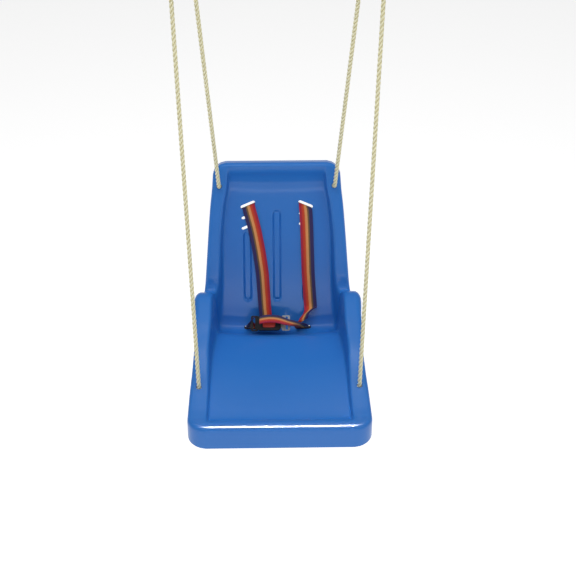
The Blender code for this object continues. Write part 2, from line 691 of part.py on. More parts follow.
def make_harness(seat):
    for sign in (-1, 1):
        side = side_name(sign)
        make_shoulder_strap(sign, seat)
        make_lap_strap(sign, seat)
        across = slot_across(sign)
        down = across.cross(BACK_OUT)
        down = down if down.z < 0 else -down
        place = on_back(sign * SLOT_X, SLOT_HEIGHTS[0]) + down * KEEPER_DROP
        make_keeper(f"shoulder_keeper_{side}", SHOULDER_KEEPER, place, BACK_OUT, across, seat)
        place = mirrored(LAP_SLOT, sign)
        make_keeper(f"lap_keeper_{side}", LAP_KEEPER, place, LAP_SLOT_OUT, Vector((1, 0, 0)), seat)


# Buckle: a two-part housing on the left lap strap, with a sprung latch under a press button,
# and a steel tongue on the right lap strap.


def block(name, outline, low, high, finish_material, parent):
    """An outline raised from one height to another in its parent's frame."""
    at = Matrix.Translation((0, 0, (low + high) / 2))
    return finish(name, prism(outline, high - low), finish_material, parent, at)


def cut_block(obj, name, outline, low, high, parent, centre=(0, 0)):
    at = Matrix.Translation((*centre, (low + high) / 2))
    boolean(obj, helper(name, prism(outline, high - low), parent, at), "DIFFERENCE")


def make_housing(buckle):
    outline = round_outline(*HOUSING, HOUSING_RADIUS)
    inner = round_outline(HOUSING[0] - 2 * HOUSING_WALL, HOUSING[1] - 2 * HOUSING_WALL, 0.0045)
    channel = round_outline(HOUSING[0], CHANNEL[0], 0.001)
    over = 0.004
    split = FIT / 2
    base = block("buckle_base", outline, HOUSING_BOTTOM, -split, MATERIALS["black"], buckle)
    cut_block(base, "base_room", inner, HOUSING_BOTTOM + HOUSING_WALL, over, buckle)
    cut_block(base, "base_channel", channel, -CHANNEL[1] / 2, over, buckle, (0.012, 0))
    cover = block("buckle_cover", outline, split, HOUSING_TOP, MATERIALS["black"], buckle)
    cut_block(cover, "cover_room", inner, -over, HOUSING_TOP - HOUSING_WALL, buckle)
    cut_block(cover, "cover_channel", channel, -over, CHANNEL[1] / 2, buckle, (0.012, 0))
    window = round_outline(BUTTON_SIZE[0] + 2 * FIT, BUTTON_SIZE[1] + 2 * FIT, 0.0034)
    cut_block(cover, "cover_window", window, 0, HOUSING_TOP + over, buckle)
    lug_high = 0.0036
    at = Matrix.Translation((-HOUSING[0] / 2 - 0.005, 0, -split - lug_high / 2))
    lug = helper("base_lug", prism(round_outline(0.014, 0.030, 0.003), lug_high), buckle, at)
    boolean(base, lug, "UNION")
    cut_block(
        base, "lug_window", round_outline(0.0042, 0.0262, 0.001), -0.01, 0.001, buckle,
        (-HOUSING[0] / 2 - 0.0060, 0),
    )


def make_button(buckle):
    """The press button, and the latch plate that it pushes off the tongue."""
    press = empty("button_slide", (0, 0, 0), buckle)
    outline = round_outline(*BUTTON_SIZE, 0.003)
    low = BUTTON_FLANGE[2] - 0.0015
    button = block("buckle_button", outline, low + 0.0005, BUTTON_TOP, MATERIALS["red"], press)
    flange = prism(round_outline(*BUTTON_FLANGE[:2], 0.003), 0.0015)
    at = Matrix.Translation((0, 0, low + 0.00075))
    boolean(button, helper("button_flange", flange, press, at), "UNION")
    for end in (-1, 1):
        leg = box((0.006, 0.0012, low + 0.0019))
        at = Matrix.Translation((0, end * (BUTTON_FLANGE[1] / 2 - 0.0007), low / 2 - 0.00045))
        boolean(button, helper(f"button_leg_{end + 1}", leg, press, at), "UNION")
    outline = round_outline(*LATCH_SIZE[:2], 0.001)
    top = LATCH_LOW + LATCH_SIZE[2]
    latch = block("buckle_latch", outline, LATCH_LOW, top, MATERIALS["steel"], press)
    tooth = box((0.003, 0.007, 0.0012), (0.0025, 0, top - 0.0001))
    boolean(latch, helper("latch_tooth", tooth, press), "UNION")
    spring = turned(
        [(-0.0010, 0.0022), (-0.0010, 0.0032), (0.0010, 0.0032), (0.0010, 0.0022)], 16
    )
    bmesh.ops.rotate(spring, matrix=Matrix.Rotation(math.pi / 2, 3, "Y"), verts=spring.verts)
    at = Matrix.Translation((0, 0, HOUSING_BOTTOM + HOUSING_WALL + 0.0010 + FIT))
    finish("latch_spring", spring, MATERIALS["steel"], buckle, at)


def make_tongue(buckle):
    slide = empty("tongue_slide", (0, 0, 0), buckle)
    blade_end = HOUSING[0] / 2 + 0.003
    half = TONGUE_SIZE[2] / 2
    blade = block(
        "buckle_tongue", round_outline(TONGUE_SIZE[0], TONGUE_SIZE[1], 0.002), -half, half,
        MATERIALS["steel"], slide,
    )
    blade.location.x = blade_end - TONGUE_SIZE[0] / 2
    outline = round_outline(*TONGUE_HEAD, 0.003)
    at = Matrix.Translation((blade_end + TONGUE_HEAD[0] / 2 - 0.001, 0, 0))
    head = helper("tongue_head", prism(outline, TONGUE_SIZE[2] * 1.2), slide, at)
    boolean(blade, head, "UNION")
    cut_block(
        blade, "tongue_slot", round_outline(0.0048, 0.0262, 0.0015), -0.01, 0.01, slide,
        (blade_end + TONGUE_HEAD[0] * 0.55, 0),
    )
    cut_block(blade, "tongue_catch", round_outline(0.008, 0.010, 0.001), -0.01, 0.01, slide, (0.004, 0))


def make_buckle(seat):
    buckle = empty("buckle_frame", BUCKLE_PLACE, seat)
    buckle.rotation_euler = (BUCKLE_TILT, 0, 0)
    make_housing(buckle)
    make_button(buckle)
    make_tongue(buckle)


def main():
    clear_scene()
    make_materials()
    pivot = empty("swing_pivot", (0, 0, -PIVOT_DROP))
    seat = empty("seat_frame", (0, -PIVOT_Y, -PIVOT_Z), pivot)
    for sign in (-1, 1):
        make_bracket(sign, pivot)
        make_hanger_fasteners(sign)
        for end in ("front", "rear"):
            make_suspension_rope(end, sign, seat)
    make_moulding(seat)
    make_harness(seat)
    make_buckle(seat)


main()
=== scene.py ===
"""Toddler bucket swing, finished: twisted ropes, a glossy moulded seat, and a striped webbing harness.

Metres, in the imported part's own frame: the beam's underside is at zero height and the seat hangs
below it. Sections follow the swing as it is put together, from the ropes down to the buckle.
"""

import math

import bmesh
import bpy
from mathutils import Matrix, Vector
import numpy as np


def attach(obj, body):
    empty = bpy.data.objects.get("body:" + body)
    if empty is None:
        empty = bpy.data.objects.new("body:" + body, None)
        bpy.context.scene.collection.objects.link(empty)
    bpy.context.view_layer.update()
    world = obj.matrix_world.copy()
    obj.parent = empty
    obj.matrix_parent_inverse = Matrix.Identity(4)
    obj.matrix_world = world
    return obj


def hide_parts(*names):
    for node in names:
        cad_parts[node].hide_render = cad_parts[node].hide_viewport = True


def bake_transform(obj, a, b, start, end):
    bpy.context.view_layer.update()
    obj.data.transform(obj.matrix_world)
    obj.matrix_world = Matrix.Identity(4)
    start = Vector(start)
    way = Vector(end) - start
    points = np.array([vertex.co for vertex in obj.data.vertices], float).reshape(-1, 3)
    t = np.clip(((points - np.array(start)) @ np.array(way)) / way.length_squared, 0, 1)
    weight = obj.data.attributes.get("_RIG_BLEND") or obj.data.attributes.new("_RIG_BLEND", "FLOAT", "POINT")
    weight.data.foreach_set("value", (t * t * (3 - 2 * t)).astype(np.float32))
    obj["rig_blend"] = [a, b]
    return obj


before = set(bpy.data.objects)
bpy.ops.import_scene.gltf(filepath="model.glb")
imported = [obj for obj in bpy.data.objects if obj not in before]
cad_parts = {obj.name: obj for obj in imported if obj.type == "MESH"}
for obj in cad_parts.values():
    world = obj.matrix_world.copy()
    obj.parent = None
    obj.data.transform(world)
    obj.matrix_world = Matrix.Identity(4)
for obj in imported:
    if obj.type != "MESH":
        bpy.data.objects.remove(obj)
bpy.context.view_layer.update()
bpy.context.scene.view_settings.view_transform = "Standard"

# ---------------------------------------------------------------------------------------------
# Studio: a camera that looks down into the seat from the front, a pale floor well below the
# swing, a bright sky-like surround, and three soft boxes.

camera_data = bpy.data.cameras.new("camera")
camera_data.lens = 85.0
camera = bpy.data.objects.new("camera", camera_data)
look_down = math.radians(33.0)
camera_roll = math.radians(-0.55)
look_right = math.radians(1.11)
camera.matrix_world = (
    Matrix.Translation((-0.0306, -2.1393, 0.6847))
    @ Matrix.Rotation(math.pi / 2 - look_down, 4, "X")
    @ Matrix.Rotation(-look_right, 4, "Y")
    @ Matrix.Rotation(camera_roll, 4, "Z")
)
bpy.context.scene.collection.objects.link(camera)
bpy.context.scene.camera = camera

floor_mesh = bpy.data.meshes.new("floor")
floor_shape = bmesh.new()
bmesh.ops.create_grid(floor_shape, x_segments=1, y_segments=1, size=14.0)
bmesh.ops.translate(floor_shape, vec=(0, 0, -1.60), verts=floor_shape.verts)
floor_shape.to_mesh(floor_mesh)
floor_shape.free()
floor = bpy.data.objects.new("floor", floor_mesh)
bpy.context.scene.collection.objects.link(floor)
floor_paint = bpy.data.materials.new("pale_floor")
floor_paint.use_nodes = True
paint = floor_paint.node_tree.nodes["Principled BSDF"]
paint.inputs["Base Color"].default_value = (0.9, 0.9, 0.9, 1)
paint.inputs["Roughness"].default_value = 0.9
paint.inputs["Emission Color"].default_value = (1.0, 1.0, 1.0, 1)
paint.inputs["Emission Strength"].default_value = 0.55
floor_mesh.materials.append(floor_paint)

surround = bpy.data.worlds.new("surround")
surround.use_nodes = True
surround.node_tree.nodes["Background"].inputs["Color"].default_value = (1.0, 1.0, 1.0, 1.0)
surround.node_tree.nodes["Background"].inputs["Strength"].default_value = 0.27
bpy.context.scene.world = surround


def soft_box(name, place, target, size, power):
    """A rectangular area light at place, turned to face target."""
    data = bpy.data.lights.new(name, "AREA")
    data.shape = "RECTANGLE"
    data.size, data.size_y = size
    data.energy = power
    lamp = bpy.data.objects.new(name, data)
    aim = (Vector(target) - Vector(place)).to_track_quat("-Z", "Y")
    lamp.matrix_world = Matrix.Translation(place) @ aim.to_matrix().to_4x4()
    bpy.context.scene.collection.objects.link(lamp)
    return lamp


shine = soft_box("lip_box", (0.02, -0.28, 0.02), (0.02, -0.26, -0.84), (0.40, 0.07), 2.0)
shine.visible_diffuse = False
shine.data.spread = math.radians(26)
soft_box("high_box", (-0.2, -1.1, 1.6), (0, 0, -0.7), (1.6, 0.9), 8)
soft_box("front_box", (-0.7, -2.6, 0.5), (0, 0, -0.7), (1.8, 1.4), 2)
soft_box("side_box", (1.8, -1.6, 0.6), (0, 0, -0.7), (1.0, 1.0), 3)
soft_box("glow_box", (0.15, -2.3, -0.80), (0.1, 0.1, -0.78), (1.7, 0.20), 3)
soft_box("floor_box", (0.0, -0.2, 2.6), (0, -0.2, -1.6), (3.5, 3.5), 74).visible_glossy = False


# ---------------------------------------------------------------------------------------------
# Suspension ropes: four lengths of cream three-strand rope, 8 mm thick. Each is knotted under
# the seat, comes up through its hole and ends in an eye round a nylon thimble on the hanger bolt.


class Term:
    """A socket of a material's nodes. Sums on it add Math nodes, and node() adds any other."""

    def __init__(self, tree, socket=None):
        self.tree = tree
        self.socket = socket

    def node(self, kind, inputs=None, output=0, stops=(), **settings):
        made = self.tree.nodes.new(kind)
        for name, value in settings.items():
            setattr(made, name, value)
        for place, (position, colour) in enumerate(stops):
            ramp = made.color_ramp.elements
            stop = ramp[place] if place < len(ramp) else ramp.new(position)
            stop.position = position
            stop.color = colour
        for name, value in (inputs or {}).items():
            if isinstance(value, Term):
                self.tree.links.new(value.socket, made.inputs[name])
            else:
                made.inputs[name].default_value = value
        return Term(self.tree, made.outputs[output])

    def sum(self, operation, first, second):
        return self.node("ShaderNodeMath", {0: first, 1: second}, operation=operation)

    def __add__(self, other):
        return self.sum("ADD", self, other)

    def __sub__(self, other):
        return self.sum("SUBTRACT", self, other)

    def __rsub__(self, other):
        return self.sum("SUBTRACT", other, self)

    def __mul__(self, other):
        return self.sum("MULTIPLY", self, other)

    def __pow__(self, other):
        return self.sum("POWER", self, other)

    __radd__ = __add__
    __rmul__ = __mul__

    def sine(self):
        return self.node("ShaderNodeMath", {0: self}, operation="SINE")

    def mixed(self, low, high):
        """From one colour to another as this goes from 0 to 1."""
        return self.node(
            "ShaderNodeMix", {0: self, 6: low, 7: high}, output=2, data_type="RGBA"
        )

    def noise(self, scale, detail=2.0, roughness=0.5):
        """Cloudy values about one half, read at this point."""
        wanted = {"Vector": self, "Scale": scale, "Detail": detail, "Roughness": roughness}
        return self.node("ShaderNodeTexNoise", wanted, output="Fac")

    def feed(self, name):
        self.tree.links.new(self.socket, self.tree.nodes["Principled BSDF"].inputs[name])

    def bump(self, distance, strength=1.0):
        wanted = {"Height": self, "Distance": distance, "Strength": strength}
        self.node("ShaderNodeBump", wanted).feed("Normal")


def new_finish(name, **sockets):
    """A material with these constants on its shader. Returns it, and a term to build on."""
    made = bpy.data.materials.new(name)
    made.use_nodes = True
    shader = made.node_tree.nodes["Principled BSDF"]
    for socket, value in sockets.items():
        shader.inputs[socket.replace("_", " ")].default_value = value
    return made, Term(made.node_tree)


def to_object(name, shape, finish):
    """The bmesh as an object of this name, shaded smooth but for its corners."""
    mesh = bpy.data.meshes.new(name)
    bmesh.ops.recalc_face_normals(shape, faces=shape.faces)
    shape.to_mesh(mesh)
    shape.free()
    mesh.materials.append(finish)
    mesh.shade_smooth()
    mesh.set_sharp_from_angle(angle=math.radians(50))
    made = bpy.data.objects.new(name, mesh)
    bpy.context.scene.collection.objects.link(made)
    return made


def even_path(points, step, softened=0):
    """The line through these points in even steps, its corners eased by so many passes."""
    spans = [(after - before).length for before, after in zip(points, points[1:])]
    count = max(2, round(sum(spans) / step))
    path = []
    span, done = 0, 0.0
    for i in range(count + 1):
        reach = sum(spans) * i / count
        while span < len(spans) - 1 and reach > done + spans[span]:
            done += spans[span]
            span += 1
        part = min(1.0, (reach - done) / spans[span])
        path.append(points[span].lerp(points[span + 1], part))
    for _ in range(softened):
        eased = [(a + 2 * b + c) / 4 for a, b, c in zip(path, path[1:], path[2:])]
        path = [path[0]] + eased + [path[-1]]
    return path


def rolling_frames(path, twist=0.0):
    """A frame at each point of the path: Z along it, X carried on and turned by twist per metre."""
    frames = []
    along = (path[1] - path[0]).normalized()
    side = along.orthogonal().normalized()
    gone = 0.0
    for i, point in enumerate(path):
        before, after = path[max(i - 1, 0)], path[min(i + 1, len(path) - 1)]
        turned = (after - before).normalized()
        side = along.rotation_difference(turned) @ side
        side = (side - turned * side.dot(turned)).normalized()
        along = turned
        gone += (point - before).length
        facing = Matrix((side, along.cross(side), along)).transposed().to_4x4()
        frames.append(Matrix.Translation(point) @ facing @ Matrix.Rotation(twist * gone, 4, "Z"))
    return frames


def swept(outline, marks, frames):
    """An outline carried through the frames. Each point keeps its mark, and how far along it is."""
    shape = bmesh.new()
    mark = shape.verts.layers.float.new("mark")
    along = shape.verts.layers.float.new("along")
    around = shape.verts.layers.float.new("around")
    ring = []
    for i, (x, y) in enumerate(outline):
        vert = shape.verts.new(frames[0] @ Vector((x, y, 0)))
        vert[mark] = marks[i]
        vert[around] = i / len(outline)
        ring.append(vert)
    edges = [shape.edges.new((ring[i - 1], ring[i])) for i in range(len(ring))]
    shape.faces.new(ring)
    reach = 0.0
    for before, after in zip(frames, frames[1:]):
        made = bmesh.ops.extrude_edge_only(shape, edges=edges)["geom"]
        edges = [part for part in made if isinstance(part, bmesh.types.BMEdge)]
        ring = [part for part in made if isinstance(part, bmesh.types.BMVert)]
        bmesh.ops.transform(shape, matrix=after @ before.inverted(), verts=ring)
        reach += (after.translation - before.translation).length
        for vert in ring:
            vert[along] = reach
    bmesh.ops.contextual_create(shape, geom=edges)
    return shape


rope_radius = 0.004
rope_lay = 0.027  # one turn of a strand round the rope
strand_radius = 0.00215
strand_centre = rope_radius - strand_radius
strand_points = 8


def three_strands(thinner=1.0):
    """The rope's section: three round strands side by side, with a groove between each two."""
    outline, grooves = [], []
    for i in range(3 * strand_points):
        angle = 2 * math.pi * i / (3 * strand_points)
        off = (angle + math.pi / 3) % (2 * math.pi / 3) - math.pi / 3
        across = strand_centre * math.sin(off)
        reach = strand_centre * math.cos(off) + math.sqrt(strand_radius**2 - across**2)
        outline.append((thinner * reach * math.cos(angle), thinner * reach * math.sin(angle)))
        # How deep in the groove between two strands each point lies; the rope's material paints shade by it.
        grooves.append((1 - reach / rope_radius) / 0.41)
    return outline, grooves


rope_finish, start = new_finish("rope_cream", Roughness=0.82, Specular_IOR_Level=0.25, Sheen_Weight=0.25)
groove = start.node("ShaderNodeAttribute", output="Fac", attribute_name="mark")
along = start.node("ShaderNodeAttribute", output="Fac", attribute_name="along")
around = start.node("ShaderNodeAttribute", output="Fac", attribute_name="around")
spot = start.node("ShaderNodeTexCoord", output="Object")
yarns = ((around + along * (1 / rope_lay)) * (2 * math.pi * 27)).sine()
fibres = spot.noise(900, 3.0)
worn = spot.noise(35, 3.0)
cream = worn.mixed((0.90, 0.86, 0.54, 1), (0.94, 0.92, 0.70, 1))
# Darker and browner in the grooves between the strands: painted shade. The yarn and fibre variation in this
# mix is the rope's own colour.
rope_tone_and_groove_shade = (groove * 0.85 + yarns * 0.07 + fibres * 0.18 - 0.10).mixed(cream, (0.58, 0.50, 0.24, 1))
rope_tone_and_groove_shade.feed("Base Color")
(yarns * 0.5 + fibres * 0.6 - groove * 0.3).bump(0.00025, 0.7)


seat_zero = Vector((0, -0.2482, -0.887))  # bottom of the front lip, which the seat is drawn from
bolt_height = -0.052
shell_wall = 0.004
clear = 0.0004
washer_thick = 0.0016
thimble_groove = 0.0163
eye_throat = 0.046
hole_bend_radius = 0.018


def rope_corners(hole, out, top):
    """The rope's route: from its knot, through the hole and a bend, and up round the thimble."""
    down = hole - top
    down.x = 0
    down.normalize()
    side = Vector((1, 0, 0)).cross(down)
    leg = rope_radius + clear
    throat = top + down * eye_throat
    eye = [throat + side * leg, throat + side * (leg + 0.0035) - down * 0.012]
    opening = math.radians(38)
    for step in range(19):
        angle = opening + (2 * math.pi - 2 * opening) * step / 18
        eye.append(top + thimble_groove * (side * math.sin(angle) + down * math.cos(angle)))
    eye += [throat - side * (leg + 0.0035) - down * 0.012, throat - side * leg]
    eye.append(throat - side * leg + down * 0.026)

    bend = out.angle((eye[0] - hole).normalized())
    corner = hole + out * (hole_bend_radius * math.tan(bend / 2) + 0.001)
    onward = (eye[0] - corner).normalized()
    start = corner - out * hole_bend_radius * math.tan(bend / 2)
    square = (onward - out * onward.dot(out)).normalized()
    lower = [hole - out * (shell_wall + washer_thick + 3 * clear), start]
    for step in range(1, 7):
        turn = bend * step / 6
        swing = square * (1 - math.cos(turn)) + out * math.sin(turn)
        lower.append(start + swing * hole_bend_radius)
    return lower + eye, down, side


def seizing_shape(middle, down, side):
    """Waxed twine wound in eleven touching turns round the two legs of the eye."""
    twine = 0.0010
    long = 0.022
    turns = 11
    half_gap = rope_radius + clear
    ring = rope_radius + twine + 0.0002
    across = down.cross(side)
    path = []
    for step in range(turns * 24 + 1):
        part = step / 24
        angle = 2 * math.pi * part
        ease = max(0.0, 1 - min(step, turns * 24 - step) / 8) * 0.0016
        x = (ring - ease) * math.cos(angle) + half_gap * max(-1, min(1, 3 * math.cos(angle)))
        y = (ring - ease) * math.sin(angle) + 0.0009 * (1 if math.sin(angle) > 0 else -1) * 0
        drop = long * (part / turns - 0.5)
        path.append(middle + side * x + across * y + down * drop)
    outline = [
        (twine * math.cos(math.pi * i / 3), twine * math.sin(math.pi * i / 3)) for i in range(6)
    ]
    return swept(outline, [0.0] * 6, rolling_frames(path))


twine_finish, start = new_finish("waxed_twine", Roughness=0.55, Specular_IOR_Level=0.4)
along = start.node("ShaderNodeAttribute", output="Fac", attribute_name="along")
around = start.node("ShaderNodeAttribute", output="Fac", attribute_name="around")
spot = start.node("ShaderNodeTexCoord", output="Object")
ply = ((around + along * 400) * (4 * math.pi)).sine()
twine_tone = (ply * 0.12 + spot.noise(500, 2.0) * 0.5).mixed((0.62, 0.52, 0.27, 1), (0.42, 0.33, 0.15, 1))
twine_tone.feed("Base Color")
ply.bump(0.00015, 0.6)


def knot_shape(centre, out):
    """A round stopper knot: the rope's end passed over and under itself and drawn up tight."""
    path = []
    for step in range(121):
        angle = 2 * math.pi * step / 120 - 0.35
        x = math.sin(angle) + 2 * math.sin(2 * angle)
        y = math.cos(angle) - 2 * math.cos(2 * angle)
        z = -math.sin(3 * angle)
        path.append(Vector((x * 0.0021, y * 0.0021, z * 0.0030)))
    facing = out.to_track_quat("Z", "Y").to_matrix().to_4x4()
    place = Matrix.Translation(centre) @ facing
    path = [place @ point for point in path[3:-3]]
    outline, grooves = three_strands(0.80)
    return swept(outline, grooves, rolling_frames(path, 2 * math.pi / rope_lay))


rope_ends = {
    "front": (Vector((0.1474, 0.1050, 0.0608)), Vector((0, -0.31, 0.95)).normalized(), 0.1757),
    "rear": (Vector((0.1096, 0.3873, 0.3241)), Vector((0, -0.957, 0.289)).normalized(), 0.1394),
}
for end, (hole, out, top_x) in rope_ends.items():
    for side_name, sign in (("left", -1), ("right", 1)):
        label = f"{end}_{side_name}"
        hole_here = seat_zero + Vector((sign * hole.x, hole.y, hole.z))
        top = Vector((sign * top_x, 0, bolt_height))
        corners, down, side = rope_corners(hole_here, out, top)
        path = even_path(corners, 0.0014, softened=10)
        outline, grooves = three_strands()
        laid = swept(outline, grooves, rolling_frames(path, 2 * math.pi / rope_lay))
        rope = to_object(f"twisted_rope_{label}", laid, rope_finish)
        winding = seizing_shape(top + down * (eye_throat + 0.013), down, side)
        seizing = to_object(f"twine_seizing_{label}", winding, twine_finish)
        under = shell_wall + washer_thick + 5 * clear + 0.0088 * 0.85
        knot = to_object(f"stopper_knot_{label}", knot_shape(hole_here - out * under, out), rope_finish)
        length = sum((after - before).length for before, after in zip(path, path[1:]))
        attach(rope, "swing")
        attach(seizing, "swing")
        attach(knot, "swing")
        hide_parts(f"rope_{label}")
        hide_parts(f"rope_seizing_{label}")
        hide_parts(f"rope_knot_{label}")


# ---------------------------------------------------------------------------------------------
# Seat moulding: one skin of blue polyethylene, about 4 mm thick, that runs from the rounded front
# lip over the pan and up the backrest. Its rim is rolled over into a skirt, three upright flutes
# stiffen the backrest, and the strap slots and rope holes are cut after moulding.

back_foot = Vector((0.0, 0.3295, 0.0570))
back_lean = math.atan2(0.0905, 0.300)
back_up = Vector((0.0, math.sin(back_lean), math.cos(back_lean)))
back_out = Vector((0.0, -math.cos(back_lean), math.sin(back_lean)))


def on_back(x, height, proud=0.0):
    """A point this far up the backrest from its foot, and this far in front of it."""
    point = seat_zero + back_foot + back_up * height + back_out * proud
    point.x = x
    return point


# Stations, front lip to top edge: the middle's (y, z), the rim's (y, z), the dish of the middle,
# where the side wall stands and its width, the outer half width, the skirt's turn and its depth.
stations = (
    (.0100, .0474, .0100, .0474, 0, .1306, .014, .1668, 0, .036),
    (.0155, .0477, .0155, .0476, 0, .1306, .014, .1668, 0, .035),
    (.0220, .0462, .0220, .0472, 0, .1306, .014, .1668, 0, .034),
    (.0300, .0405, .0300, .0466, 0, .1306, .014, .1668, 0, .032),
    (.0380, .0370, .0380, .0472, .001, .1306, .014, .1667, 0, .030),
    (.0550, .0372, .0550, .0490, .002, .1300, .014, .1662, 0, .032),
    (.1000, .0430, .0980, .0585, .004, .1290, .014, .1644, 0, .037),
    (.1500, .0500, .1450, .0740, .006, .1285, .016, .1610, 0, .046),
    (.2000, .0570, .1920, .0985, .007, .1275, .016, .1580, 0, .063),
    (.2400, .0612, .2280, .1230, .008, .1235, .017, .1580, 0, .080),
    (.2620, .0605, .2480, .1360, .008, .1225, .018, .1585, 0, .088),
    (.2800, .0530, .2640, .1455, .007, .1215, .020, .1595, 0, .092),
    (.2960, .0435, .2790, .1490, .005, .1205, .022, .1590, 0, .090),
    (.3100, .0395, .2950, .1440, .004, .1190, .022, .1555, 2, .080),
    (.3220, .0440, .3090, .1340, .004, .1195, .022, .1490, 10, .062),
    (.3295, .0570, .3200, .1275, .004, .1155, .020, .1430, 35, .042),
    (.3380, .0850, .3300, .1360, .004, .1120, .018, .1405, 62, .030),
    (.3485, .1200, .3366, .1570, .004, .1095, .018, .1385, 72, .024),
    (.3621, .1650, .3460, .1880, .004, .1080, .018, .1360, 73, .022),
    (.3787, .2200, .3593, .2320, .004, .1060, .018, .1325, 73, .022),
    (.3953, .2750, .3746, .2820, .004, .1005, .018, .1280, 73, .022),
    (.4045, .3120, .3845, .3150, .003, .0945, .017, .1240, 73, .022),
    (.4035, .3340, .3908, .3360, .001, .0930, .017, .1222, 73, .021),
    (.3990, .3485, .3948, .3490, 0, .0925, .017, .1212, 73, .020),
    (.3980, .3597, .3980, .3597, 0, .0920, .017, .1205, 73, .020),
)
lip_roll = 0.010
edge_roll = 0.007
arm_roll = 0.006
front_corner = 0.024
top_corner = 0.018
floor_columns = 66
wall_columns = 12
band_columns = 4
half_columns = floor_columns + wall_columns + band_columns


def station(at, column):
    """One of the stations' values at a whole or part station, on a smooth curve through them."""
    last = len(stations) - 1
    i = min(int(at), last - 1)
    t = at - i
    a, b, c, d = (stations[min(max(k, 0), last)][column] for k in range(i - 1, i + 3))
    return b + 0.5 * t * (c - a + t * (2 * a - 5 * b + 4 * c - d + t * (3 * (b - c) + d - a)))


def corner_cut(distance, radius):
    """How far a round corner cuts into the width at this distance from the end."""
    if distance >= radius:
        return 0.0
    return radius * (1 - math.sqrt(1 - (1 - distance / radius) ** 2))


def roll_radius(at):
    arm = max(0.0, 1 - abs(at - 11.5) / 3.0)
    return edge_roll + (lip_roll - edge_roll) * max(0.0, 1 - at / 5) + arm_roll * arm * arm * (3 - 2 * arm)


def edge_half_width(at):
    width = station(at, 7) - roll_radius(at)
    width -= corner_cut(station(at, 2) - stations[0][2], front_corner)
    end = stations[-1]
    left = math.hypot(end[2] - station(at, 2), end[3] - station(at, 3))
    return width - corner_cut(left, top_corner)


def floor_part(column):
    """How far across the floor a column stands. Columns crowd together at the flutes' edges."""
    spread = ((0, 0.0), (12, 0.125), (22, 0.44), (54, 0.71), (66, 1.0))
    for (first, start), (after, end) in zip(spread, spread[1:]):
        if column <= after:
            return start + (end - start) * (column - first) / (after - first)
    return 1.0


def shell_point(at, column):
    """A point of the skin: at runs from front to top, column out from the middle."""
    side = -1 if column < 0 else 1
    column = abs(column)
    edge = edge_half_width(at)
    wall_end = min(station(at, 5) + station(at, 6) / 2, edge - 0.004)
    wall_start = min(station(at, 5) - station(at, 6) / 2, wall_end - 0.012)
    across = floor_part(column)
    t = min(max((column - floor_columns) / wall_columns, 0.0), 1.0)
    band = max((column - floor_columns - wall_columns) / band_columns, 0.0)
    rise = t - math.sin(2 * math.pi * t) / (2 * math.pi)
    run = t + 0.6 * math.sin(2 * math.pi * t) / (2 * math.pi)
    x = across * wall_start + run * (wall_end - wall_start) + band * (edge - wall_end)
    y = station(at, 0)
    z = station(at, 1) + station(at, 4) * across * across
    y += rise * (station(at, 2) - y)
    z += rise * (station(at, 3) - z)
    return seat_zero + Vector((side * x, y, z))


flute_centres = (-0.0575, 0.0, 0.0575)
flute_half_width = 0.0066
flute_foot = 0.040  # up the backrest from its foot
flute_tops = (0.176, 0.218, 0.176)
flute_depth = 0.0026
flute_line = 0.0020  # half width of the line that is pressed round each flute


def flute_dip(point):
    """How deep the outline of a flute is pressed into the backrest at this point of it."""
    height = (point - seat_zero - back_foot).dot(back_up)
    nearest, top = min(
        (abs(point.x - centre), top) for centre, top in zip(flute_centres, flute_tops)
    )
    past = height - min(max(height, flute_foot + flute_half_width), top - flute_half_width)
    off = abs(flute_half_width - math.hypot(nearest, past)) / flute_line
    return flute_depth * (1 + math.cos(math.pi * off)) / 2 if off < 1 else 0.0


# Rows lie closer together where the skin turns sharply and where the flutes are.
row_steps = (3,) * 5 + (9,) * 3 + (8, 6, 5, 5, 5, 5, 5, 8) + (12, 16, 20, 20, 12, 8, 6, 4)
rows = [i + step / count for i, count in enumerate(row_steps) for step in range(count)]
rows.append(len(stations) - 1)

skin = bmesh.new()
bmesh.ops.create_grid(skin, x_segments=2 * half_columns, y_segments=len(rows) - 1, size=1.0)
grid = {}
for vert in skin.verts:
    column = round(vert.co.x * half_columns)
    row = round((vert.co.y + 1) / 2 * (len(rows) - 1))
    grid[column, row] = vert
    vert.co = shell_point(rows[row], column)
    if 14 < rows[row] < 20 and abs(column) < floor_columns:
        vert.co -= back_out * flute_dip(vert.co)

last = len(rows) - 1
rim = [(grid[c, 0], rows[0]) for c in range(-half_columns, half_columns + 1)]
rim += [(grid[half_columns, r], rows[r]) for r in range(1, last + 1)]
rim += [(grid[c, last], rows[last]) for c in range(half_columns - 1, -half_columns - 1, -1)]
rim += [(grid[-half_columns, r], rows[r]) for r in range(last - 1, 0, -1)]
edge_ways = []
for i, (vert, at) in enumerate(rim):
    follow = rim[(i + 1) % len(rim)][0].co - rim[i - 1][0].co
    turn = math.radians(station(at, 8))
    down = Vector((0, math.sin(turn), -math.cos(turn)))
    out = down.cross(follow).normalized()
    edge_ways.append((vert.co.copy(), out, down, roll_radius(at), station(at, 9)))
roll_steps = 6
levels = []
for step in range(1, roll_steps + 1):
    turn = math.pi / 2 * step / roll_steps
    levels.append((math.sin(turn), 1 - math.cos(turn), 0.0))
levels += [(1.0, 1.0, depth / 4) for depth in range(1, 5)]
ring = [vert for vert, at in rim]
for across, drop, depth in levels:
    edges = [skin.edges.get((ring[i - 1], ring[i])) for i in range(len(ring))]
    made = bmesh.ops.extrude_edge_only(skin, edges=edges)["geom"]
    fresh = {part for part in made if isinstance(part, bmesh.types.BMVert)}
    follow = []
    for vert in ring:
        follow.append(next(e.other_vert(vert) for e in vert.link_edges if e.other_vert(vert) in fresh))
    for vert, (base, out, down, radius, skirt) in zip(follow, edge_ways):
        vert.co = base + out * radius * across + down * (radius * drop + skirt * depth)
    ring = follow
bmesh.ops.recalc_face_normals(skin, faces=skin.faces)
skin.normal_update()
if grid[0, len(rows) // 4].link_faces[0].normal.z < 0:
    bmesh.ops.reverse_faces(skin, faces=skin.faces)

